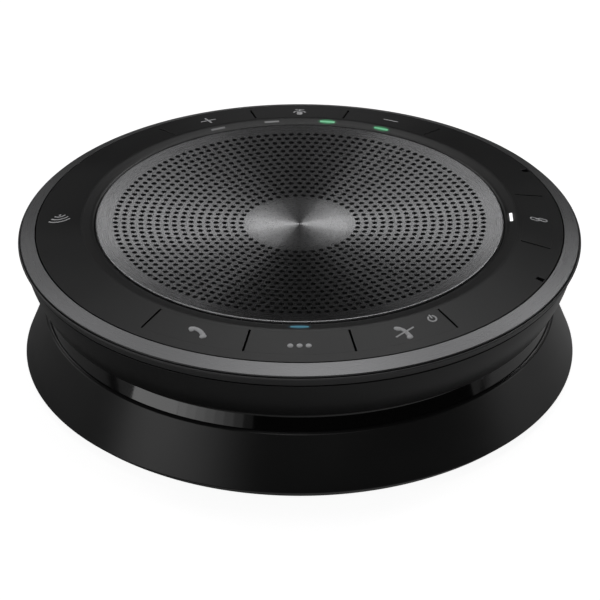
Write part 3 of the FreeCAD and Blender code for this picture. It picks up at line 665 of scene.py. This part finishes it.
NODE_MATERIALS = {
    "foot_rubber": RUBBER,
    "base_plastic": SATIN,
    "steel": metal("plated_steel", grey(0.5), 0.3),
    "gloss_black": GLOSS,
    "inner_plastic": moulded("inner_plastic", grey(0.045), 0.6, depth=0.006),
    "battery_film": moulded("battery_film", (0.22, 0.24, 0.27), 0.35, grain=0.8),
    "bowl_plastic": SATIN,
    "seal_rubber": moulded("seal_rubber", grey(0.02), 0.8),
    "spun_aluminium": SPUN,
    "soft_touch": SOFT_TOUCH,
    "silicone": moulded("silicone", grey(0.3), 0.5, depth=0.003),
    "chip_package": moulded("chip_package", grey(0.03), 0.55, grain=0.08),
    "grille_aluminium": GRILLE_METAL,
    "acoustic_cloth": woven("acoustic_cloth", grey(0.008), 0.25),
    "painted_steel": moulded("painted_steel", grey(0.03), 0.4, grain=0.3),
    "cone_paper": paper("cone_paper", grey(0.04)),
    "copper": metal("copper", (0.75, 0.36, 0.22), 0.3),
    "spider_cloth": woven("spider_cloth", (0.5, 0.36, 0.12), 0.4),
    "magnet_ferrite": moulded("magnet_ferrite", grey(0.06), 0.7, grain=0.4, depth=0.01),
    "circuit_board": circuit("circuit_board", (0.01, 0.08, 0.03)),
    "ribbon_film": moulded("ribbon_film", (0.45, 0.2, 0.03), 0.35, grain=0.5),
    "ring_plastic": RING_PLASTIC,
    "window_green": glowing("window_green", (0.1, 0.4, 0.22), (0.2, 0.7, 0.36), 0.42),
    # The unlit windows still get a faint emission: a painted glow, though no lamp lights them.
    "window_clear": glowing("window_unlit_painted_glow", grey(0.26), grey(0.5), 0.05),
    "window_blue": glowing("window_blue", (0.08, 0.3, 0.4), (0.12, 0.36, 0.48), 0.25),
    "window_white": glowing("window_white", grey(0.8), grey(1.0), 1.1),
}


def dress_nodes():
    """Every CAD node gets its slot's material."""
    for part in frame["record"]["subparts"]:
        node = frame["nodes"][part["node"]]
        node.data.materials.clear()
        node.data.materials.append(NODE_MATERIALS[part["material_slot"]])


# Housing


def foot():
    """The rubber ring that it stands on."""
    outline = [
        (FOOT_IN_R, 0),
        (FOOT_R, 0),
        (FOOT_R, FOOT_TOP_Z - 0.5 * MM),
        (FOOT_R - 0.4 * MM, FOOT_TOP_Z),
        (FOOT_IN_R, FOOT_TOP_Z),
    ]
    piece = lathe("foot_pad", outline, RUBBER)
    round_edges(piece, 0.12 * MM)
    return stand_for(piece, "foot_ring")


def skirt():
    """The flared base, with an undercut to the foot and a flat ledge on top."""
    lean = 0.14 * MM
    outer = [
        (FOOT_R + 0.5 * MM, SKIRT_LOW_Z),
        (SKIRT_R - SKIRT_EDGE, SKIRT_Z - SKIRT_EDGE),
        (SKIRT_R, SKIRT_Z),
        (SKIRT_R - lean, SKIRT_Z + SKIRT_EDGE),
        (LEDGE_R + lean, LEDGE_Z - SKIRT_EDGE),
        (LEDGE_R - SKIRT_EDGE, LEDGE_Z),
    ]
    inner = [
        (FLANGE_IN_R, LEDGE_Z),
        (FLANGE_IN_R, LEDGE_Z - WALL),
        (LEDGE_R - WALL, LEDGE_Z - WALL),
        (PLATE_POCKET_R, PLATE_TOP_Z),
        (PLATE_POCKET_R, FOOT_TOP_Z),
        (FOOT_R + 0.1 * MM, FOOT_TOP_Z - 0.4 * MM),
        (FOOT_R + 0.1 * MM, SKIRT_LOW_Z),
    ]
    piece = lathe("flared_base", outer + inner, SATIN)
    round_edges(piece, 0.15 * MM)
    return stand_for(piece, "base_skirt")


def bowl():
    """The lower housing: its side is a shallow arc from the waist to the parting line."""
    low_z = BOWL_LOW_Z + 0.4 * MM
    outline = [
        (BOWL_HOLE_R, BOWL_LOW_Z),
        (BOWL_LOW_R - 0.7 * MM, BOWL_LOW_Z),
        (BOWL_LOW_R - 0.25 * MM, BOWL_LOW_Z + 0.1 * MM),
    ]
    for i in range(BOWL_STEPS + 1):
        t = i / BOWL_STEPS
        swell = BOWL_BULGE * 4 * t * (1 - t)
        radius = BOWL_LOW_R + (BOWL_TOP_R - BOWL_LOW_R) * t + swell * 0.95
        outline.append((radius, low_z + (BOWL_TOP_Z - low_z) * t - swell * 0.36))
    outline += [
        (BOWL_TOP_R - WALL, BOWL_TOP_Z),
        (BOWL_LOW_R - WALL, BOWL_LOW_Z + FLOOR_T),
        (BOWL_HOLE_R, BOWL_LOW_Z + FLOOR_T),
    ]
    piece = lathe("bowl_shell", outline, SATIN)
    round_edges(piece, 0.12 * MM, angle=40)
    return stand_for(piece, "lower_housing")


def lip():
    """The black ring above the parting line, grooved round the bevel ring."""
    floor_z = LIP_TOP_Z - 0.45 * MM
    leg_r = BEVEL_LEG_R + 0.05 * MM
    outline = [
        (BOWL_TOP_R + 0.1 * MM, LIP_LOW_Z),
        (LIP_R - 0.55 * MM, LIP_LOW_Z + 0.75 * MM),
        (LIP_R, LIP_TOP_Z - 0.25 * MM),
        (LIP_R - 0.2 * MM, LIP_TOP_Z),
        (GROOVE_R, LIP_TOP_Z),
        (GROOVE_R, floor_z),
        (leg_r, floor_z),
        (leg_r, BEVEL_LOW_Z),
        (PANEL_LEG_R, BEVEL_LOW_Z),
        (PANEL_LEG_R, LIP_LOW_Z),
    ]
    piece = lathe("shadow_lip", outline, LIP_GREY_AND_PAINTED_LIGHT)
    round_edges(piece, 0.1 * MM)
    return stand_for(piece, "rim_lip")


def bevel():
    """The spun metal ring round the panel."""
    inner_r = PANEL_OUT_R + PANEL_GAP
    outline = [
        (inner_r, BEVEL_TOP_Z - 0.02 * MM),
        (BEVEL_R - BEVEL_EDGE, BEVEL_BASE_Z + 0.78 * MM),
        (BEVEL_R, BEVEL_BASE_Z + 0.65 * MM),
        (BEVEL_R, BEVEL_BASE_Z + 0.3 * MM),
        (BEVEL_R - 2 * BEVEL_EDGE, BEVEL_BASE_Z),
        (BEVEL_LEG_R, BEVEL_BASE_Z),
        (BEVEL_LEG_R, BEVEL_LOW_Z),
        (inner_r, BEVEL_LOW_Z),
    ]
    piece = lathe("metal_bevel", outline, SPUN)
    round_edges(piece, 0.06 * MM)
    return stand_for(piece, "bevel_ring")


# Panel, keys and lights


def inside(angle, start, end):
    """True if an angle lies between two others, round the circle."""
    return (angle - start) % 360 < (end - start) % 360


def panel():
    """The soft-touch ring, open at the three key windows and the two microphone slots."""
    ridge = [PANEL_IN_R + RIDGE * i / 4 for i in range(5)]
    window = [WINDOW_IN_R, WINDOW_MID_R, WINDOW_OUT_R]
    radii = ridge + window + [MIC_IN_R, MIC_OUT_R, PANEL_OUT_R - PANEL_SEAM]
    sides = [(a % 360, s * SIDE_GAP) for w in WINDOWS for a, s in zip(w, (-1, 1))]
    sides += [(a % 360, s * MIC_HALF) for a in MIC_ANGLES for s in (-1, 1)]
    clear = [a for a in range(360) if all(apart(a, side) > LINE_CLEAR for side, _ in sides)]
    lines = sides + [(a, 0.0) for a in clear]

    def kept(radius, angle):
        if WINDOW_IN_R < radius < WINDOW_OUT_R:
            return not any(inside(angle, a - GAP_REACH, b + GAP_REACH) for a, b in WINDOWS)
        if MIC_IN_R < radius < MIC_OUT_R:
            return not any(inside(angle, a - MIC_REACH, a + MIC_REACH) for a in MIC_ANGLES)
        return True

    piece = polar_plate(
        "panel_skin", radii, lines, kept, top_z, lambda r: panel_z(r) - PANEL_T, SOFT_TOUCH
    )
    round_spokes(piece, PANEL_EDGE_R)
    return stand_for(piece, "control_panel")


def key_cap(body, start, end):
    """One key of the panel; it rides on its own body."""
    radii = [WINDOW_IN_R + END_GAP, WINDOW_MID_R, WINDOW_OUT_R - END_GAP]
    steps = round(end - start)
    lines = [(start, SIDE_GAP), (end, -SIDE_GAP)]
    lines += [(start + (end - start) * i / steps, 0.0) for i in range(1, steps)]
    piece = polar_plate(
        body + "_cap", radii, lines, lambda r, a: True, panel_z,
        lambda r: panel_z(r) - PANEL_T, SOFT_TOUCH, body,
    )
    round_spokes(piece, PANEL_EDGE_R)
    return stand_for(piece, body)


def light_ring():
    """The ring between grille and panel, open where its six lights are."""
    chamfer = LIGHT_CHAMFER[0]
    radii = [LIGHT_IN_R - chamfer, LIGHT_IN_R - chamfer / 3, LIGHT_IN_R + chamfer / 3]
    radii += sorted({r + s * LIGHT_HALF for _, r, *_ in LIGHTS for s in (-1, 1)})
    radii += [PANEL_IN_R - RIDGE * i / 4 for i in (4, 3, 2, 1)] + [PANEL_IN_R - RING_SEAM]
    ends = [(a % 360, s * half) for a, _, half, *_ in LIGHTS for s in (-1, 1)]
    clear = [a for a in range(360) if all(apart(a, end) > LIGHT_CLEAR for end, _ in ends)]
    lines = ends + [(a, 0.0) for a in clear]

    def kept(radius, angle):
        for middle, r, half, *_ in LIGHTS:
            near = apart(angle, middle) < degrees(half / r) * 0.9
            if near and abs(radius - r) < LIGHT_HALF:
                return False
        return True

    piece = polar_plate(
        "ring_skin", radii, lines, kept, top_z, lambda r: LIGHT_BASE_Z, RING_PLASTIC
    )
    return stand_for(piece, "light_ring")


# Printed marks


def mark(name, body, angle, radius, strokes):
    """A printed mark, whose up is towards the axis. A stroke is [(x, y, half width), ...] in mm."""
    outward = Vector((cos(radians(angle)), sin(radians(angle))))
    up = -outward
    right = Vector((up.y, -up.x))
    vertices = []
    faces = []

    def put(x, y, layer):
        p = outward * radius + (right * x + up * y) * MM
        height = panel_z(p.length) + PRINT_LIFT + layer * PRINT_STEP
        vertices.append((p.x, p.y, height))
        return len(vertices) - 1

    for layer, stroke in enumerate(strokes):
        count = len(stroke)
        left_side = []
        right_side = []
        caps = []
        for i, (x, y, half) in enumerate(stroke):
            before = Vector(stroke[max(i - 1, 0)][:2])
            after = Vector(stroke[min(i + 1, count - 1)][:2])
            along = (after - before).normalized() if count > 1 else Vector((1, 0))
            side = Vector((-along.y, along.x)) * half
            left_side.append(put(x + side.x, y + side.y, layer))
            right_side.append(put(x - side.x, y - side.y, layer))
            if i in (0, count - 1):
                caps.append((x, y, half, atan2(side.y, side.x), i))
        for i in range(count - 1):
            faces.append((right_side[i], right_side[i + 1], left_side[i + 1], left_side[i]))
        for x, y, half, turn, i in caps:
            for sense in (1, -1) if count == 1 else ((1,) if i == 0 else (-1,)):
                arc = [turn + sense * pi * k / CAP_STEPS for k in range(1, CAP_STEPS)]
                rim = [put(x + half * cos(t), y + half * sin(t), layer) for t in arc]
                loop = [left_side[i]] + rim + [right_side[i]]
                faces.append(tuple(loop if sense == 1 else reversed(loop)))
    piece = new_piece(name, vertices, faces, PRINT, body)
    thick = piece.modifiers.new("ink", "SOLIDIFY")
    thick.thickness = PRINT_T
    thick.offset = -1.0
    return piece


def bend(x, y, radius, start, end, half, steps=16):
    """A stroke along an arc round (x, y), between two angles in degrees."""
    turns = [radians(start + (end - start) * i / steps) for i in range(steps + 1)]
    return [(x + radius * cos(t), y + radius * sin(t), half) for t in turns]


def oval(x, y, length, radius, turn, half):
    """A stroke round a slot-shaped loop that leans at an angle."""
    lean = radians(turn)
    points = []
    for sense, start in ((1, -90), (-1, 90)):
        for i in range(9):
            t = radians(start + 180 * i / 8)
            px, py = sense * length / 2 + radius * cos(t), radius * sin(t)
            across = px * cos(lean) - py * sin(lean)
            points.append((x + across, y + px * sin(lean) + py * cos(lean), half))
    return points + points[:1]


def marks():
    """The generic symbols: one on each key, a power sign, and three arcs at the panel's left."""
    handset = [
        (-1.35, 0.9, 0.52), (-0.9, 1.1, 0.52), (-0.1, 1.05, 0.48), (0.8, 0.7, 0.48),
        (1.6, 0.05, 0.5), (2.0, -0.45, 0.56),
    ]
    ear = [(-1.3, 0.85, 0.56), (-1.1, 0.55, 0.5)]
    mouth = [(2.05, -0.45, 0.58), (1.75, -0.65, 0.52)]
    mark("mark_answer", "key_answer", 246, MARK_R, [handset, ear, mouth])
    handset = [
        (-0.85, 1.65, 0.5), (-0.35, 1.4, 0.5), (0.25, 0.8, 0.46), (0.55, 0.0, 0.46),
        (0.7, -0.85, 0.5), (0.75, -1.5, 0.56),
    ]
    ear = [(-0.85, 1.6, 0.54), (-0.7, 1.3, 0.5)]
    mouth = [(0.7, -1.5, 0.58), (0.45, -1.6, 0.5)]
    slash = [(-1.9, -0.7, 0.2), (2.5, 0.87, 0.2)]
    mark("mark_end", "key_end", 294, MARK_R, [handset, ear, mouth, slash])
    power = [bend(0, 0, 0.85, 125, 415, 0.19), [(0, 0.15, 0.17), (0, 1.1, 0.17)]]
    mark("mark_power", "key_end", 302.6, 49.4 * MM, power)
    dots = [[(x, 0, 0.6)] for x in (-1.82, 0, 1.82)]
    mark("mark_menu", "key_menu", 270, 51.4 * MM, dots)
    plus = [[(-1.6, 0, 0.24), (1.6, 0, 0.24)], [(0, -1.9, 0.22), (0, 1.9, 0.22)]]
    mark("mark_plus", "key_volume_up", 114, MARK_R, plus)
    mark("mark_minus", "key_volume_down", 66, MARK_R, [[(-1.6, 0, 0.24), (1.6, 0, 0.24)]])
    microphone = [
        [(0, 1.5, 0.66), (0, 0.3, 0.66)],
        bend(0, 0.3, 1.25, 180, 360, 0.2),
        [(0, -0.9, 0.18), (0, -1.9, 0.18)],
        [(-0.9, -1.95, 0.18), (0.9, -1.95, 0.18)],
    ]
    mark("mark_mute", "key_mute", 90, 50.8 * MM, microphone)
    chain = [
        oval(-0.05, 0.85, 0.9, 0.48, 75, 0.16),
        oval(0.05, -0.85, 0.9, 0.48, 75, 0.16),
        [(-0.1, -0.55, 0.15), (0.1, 0.55, 0.15)],
    ]
    mark("mark_link", "key_link", 0, MARK_R, chain)
    arcs = [
        bend(-2.6, 0, radius, -spread, spread, 0.2)
        for radius, spread in ((1.4, 48), (2.5, 42), (3.6, 37))
    ]
    mark("mark_contactless", "root", 180, 51.2 * MM, arcs + [[(-2.0, 0, 0.3)]])


# Grille


def hole(number, step):
    """The middle and the direction of a grille hole. Ring n, of n pitches' radius, has 6 n holes."""
    turn = 2 * pi * step / (6 * number)
    radius = number * HOLE_PITCH
    return radius * cos(turn), radius * sin(turn), turn


def grille():
    """The dished sheet with its punched rings, meshed round every hole."""
    points = []
    edges = []

    def loop(radius, x, y, sides, start=0.0):
        first = len(points)
        for i in range(sides):
            turn = start + 2 * pi * i / sides
            points.append(Vector((x + radius * cos(turn), y + radius * sin(turn))))
            edges.append((first + i, first + (i + 1) % sides))

    rolled_edge = (0.0, 0.02, 0.06, 0.12, 0.2, 0.3, 0.9)
    for inset in rolled_edge:
        loop(GRILLE_R - inset * MM, 0, 0, RIM_STEPS)
    plain_centre = ((11.2, 160), (5.6, 80), (1.7, 24))
    for radius, sides in plain_centre:
        loop(radius * MM, 0, 0, sides)
    for number in range(FIRST_RING, LAST_RING + 1):
        for step in range(6 * number):
            x, y, turn = hole(number, step)
            loop(HOLE_R, x, y, HOLE_SIDES, turn)
    flat, _, triangles, *_ = delaunay_2d_cdt(points, edges, [], 0, 1e-8)

    def solid(face):
        x, y = (sum(flat[v][k] for v in face) / 3 for k in (0, 1))
        r = hypot(x, y)
        number = round(r / HOLE_PITCH)
        if r > GRILLE_R or not FIRST_RING <= number <= LAST_RING:
            return r <= GRILLE_R
        hole_x, hole_y, _ = hole(number, round(atan2(y, x) / (2 * pi) * 6 * number))
        return hypot(x - hole_x, y - hole_y) > HOLE_R * 0.9

    faces = [tuple(f) for f in triangles if solid(f)]
    count = len(flat)
    vertices = [(p.x, p.y, grille_z(p.length)) for p in flat]
    vertices += [(p.x, p.y, dish_z(p.length) - GRILLE_T) for p in flat]
    sides = {(f[k], f[(k + 1) % 3]) for f in faces for k in range(3)}
    walls = [(b, a, a + count, b + count) for a, b in sides if (b, a) not in sides]
    faces += [tuple(count + v for v in reversed(f)) for f in faces] + walls
    piece = new_piece("punched_grille", vertices, faces, GRILLE_METAL)
    piece.data.set_sharp_from_angle(angle=radians(40))
    return stand_for(piece, "grille")


# Stage


def camera():
    """The photograph's view."""
    data = bpy.data.cameras.new("camera")
    data.lens = LENS
    data.sensor_width = 36.0
    data.clip_start = 0.01
    data.clip_end = 20.0
    made = bpy.data.objects.new("camera", data)
    made.location = CAMERA_AT
    made.rotation_euler = (radians(CAMERA_TILT), 0, 0)
    bpy.context.scene.collection.objects.link(made)
    bpy.context.scene.camera = made


def softbox(azimuth, elevation, width, height, radiance):
    """A rectangular light that faces the object. Its width is the azimuth that it fills."""
    name = f"light_{azimuth}_{elevation}"
    data = bpy.data.lights.new(name, "AREA")
    data.shape = "RECTANGLE"
    data.size = 2 * LIGHT_DISTANCE * tan(radians(width / 2)) * cos(radians(elevation))
    data.size_y = 2 * LIGHT_DISTANCE * tan(radians(height / 2))
    data.energy = 4 * data.size * data.size_y * radiance
    made = bpy.data.objects.new(name, data)
    a, e = radians(azimuth), radians(elevation)
    place = Vector((cos(a) * cos(e), sin(a) * cos(e), sin(e))) * LIGHT_DISTANCE
    made.location = place + AIM
    made.rotation_euler = place.to_track_quat("Z", "Y").to_euler()
    made.visible_camera = False
    bpy.context.scene.collection.objects.link(made)


def soft_lights():
    """The soft lights. Those at the sides and the back light the top, and the low ones the housing."""
    for elevation, aside, width, right, left in SIDE_BOXES:
        softbox(BACK - aside, elevation, width, BOX_HEIGHT, right)
        softbox(BACK + aside, elevation, width, BOX_HEIGHT, left)
    for box in BACK_BOXES + FRONT_BOXES + (WAIST_BOX,):
        softbox(*box)
    for start, spacing, count, first, last in FADES:
        for i in range(count):
            radiance = first + (last - first) * i / (count - 1)
            softbox(start + spacing * i, FADE_ELEVATION, spacing, LOW_HEIGHT, radiance)


def camera_only(tree, shown, others):
    """Shows one value to the camera and another to all other rays; this is for the stage alone."""
    path = tree.nodes.new("ShaderNodeLightPath")
    mix = tree.nodes.new("ShaderNodeMapRange")
    if isinstance(others, float):
        mix.inputs["To Min"].default_value = others
    else:
        tree.links.new(others, mix.inputs["To Min"])
    mix.inputs["To Max"].default_value = shown
    tree.links.new(path.outputs["Is Camera Ray"], mix.inputs["Value"])
    return mix.outputs["Result"]


def stage():
    """A plain pale floor under a soft dim studio, which the object reflects as dark."""
    half = FLOOR_HALF
    corners = [(-half, -half, 0), (half, -half, 0), (half, half, 0), (-half, half, 0)]
    floor_mesh = bpy.data.meshes.new("floor")
    floor_mesh.from_pydata(corners, [], [(0, 1, 2, 3)])
    floor = bpy.data.objects.new("floor", floor_mesh)
    bpy.context.scene.collection.objects.link(floor)
    n = Nodes("pale_floor")
    n.settle(Roughness=1.0, Specular_IOR_Level=0.0, Emission_Color=(1, 1, 1, 1))
    along = n.add("ShaderNodeVectorMath", operation="DOT_PRODUCT")
    along.inputs[1].default_value = (cos(radians(GLOW_AZIMUTH)), sin(radians(GLOW_AZIMUTH)), 0)
    n.link(n.place(), along.inputs[0])
    glow = n.between(along.outputs["Value"], 0.0, FLOOR_GLOW, *GLOW_SPAN)
    base_shown, glow_shown = FLOOR_SHOWN
    n.link(camera_only(n.tree, base_shown, FLOOR_DIM), n.shader.inputs["Base Color"])
    n.link(camera_only(n.tree, glow_shown, glow), n.shader.inputs["Emission Strength"])
    floor_mesh.materials.append(n.material)
    world = bpy.data.worlds.new("studio")
    world.use_nodes = True
    tree = world.node_tree
    sky = tree.nodes["Background"]
    sky.inputs["Color"].default_value = (1, 1, 1, 1)
    tree.links.new(camera_only(tree, 1.0, STUDIO_DIM), sky.inputs["Strength"])
    bpy.context.scene.world = world


camera()
dress_nodes()
foot()
skirt()
bowl()
lip()
bevel()
panel()
for key_body, (key_start, key_end) in KEYS.items():
    key_cap(key_body, key_start, key_end)
light_ring()
marks()
grille()
stage()
soft_lights()
bpy.context.scene.view_settings.view_transform = "Standard"
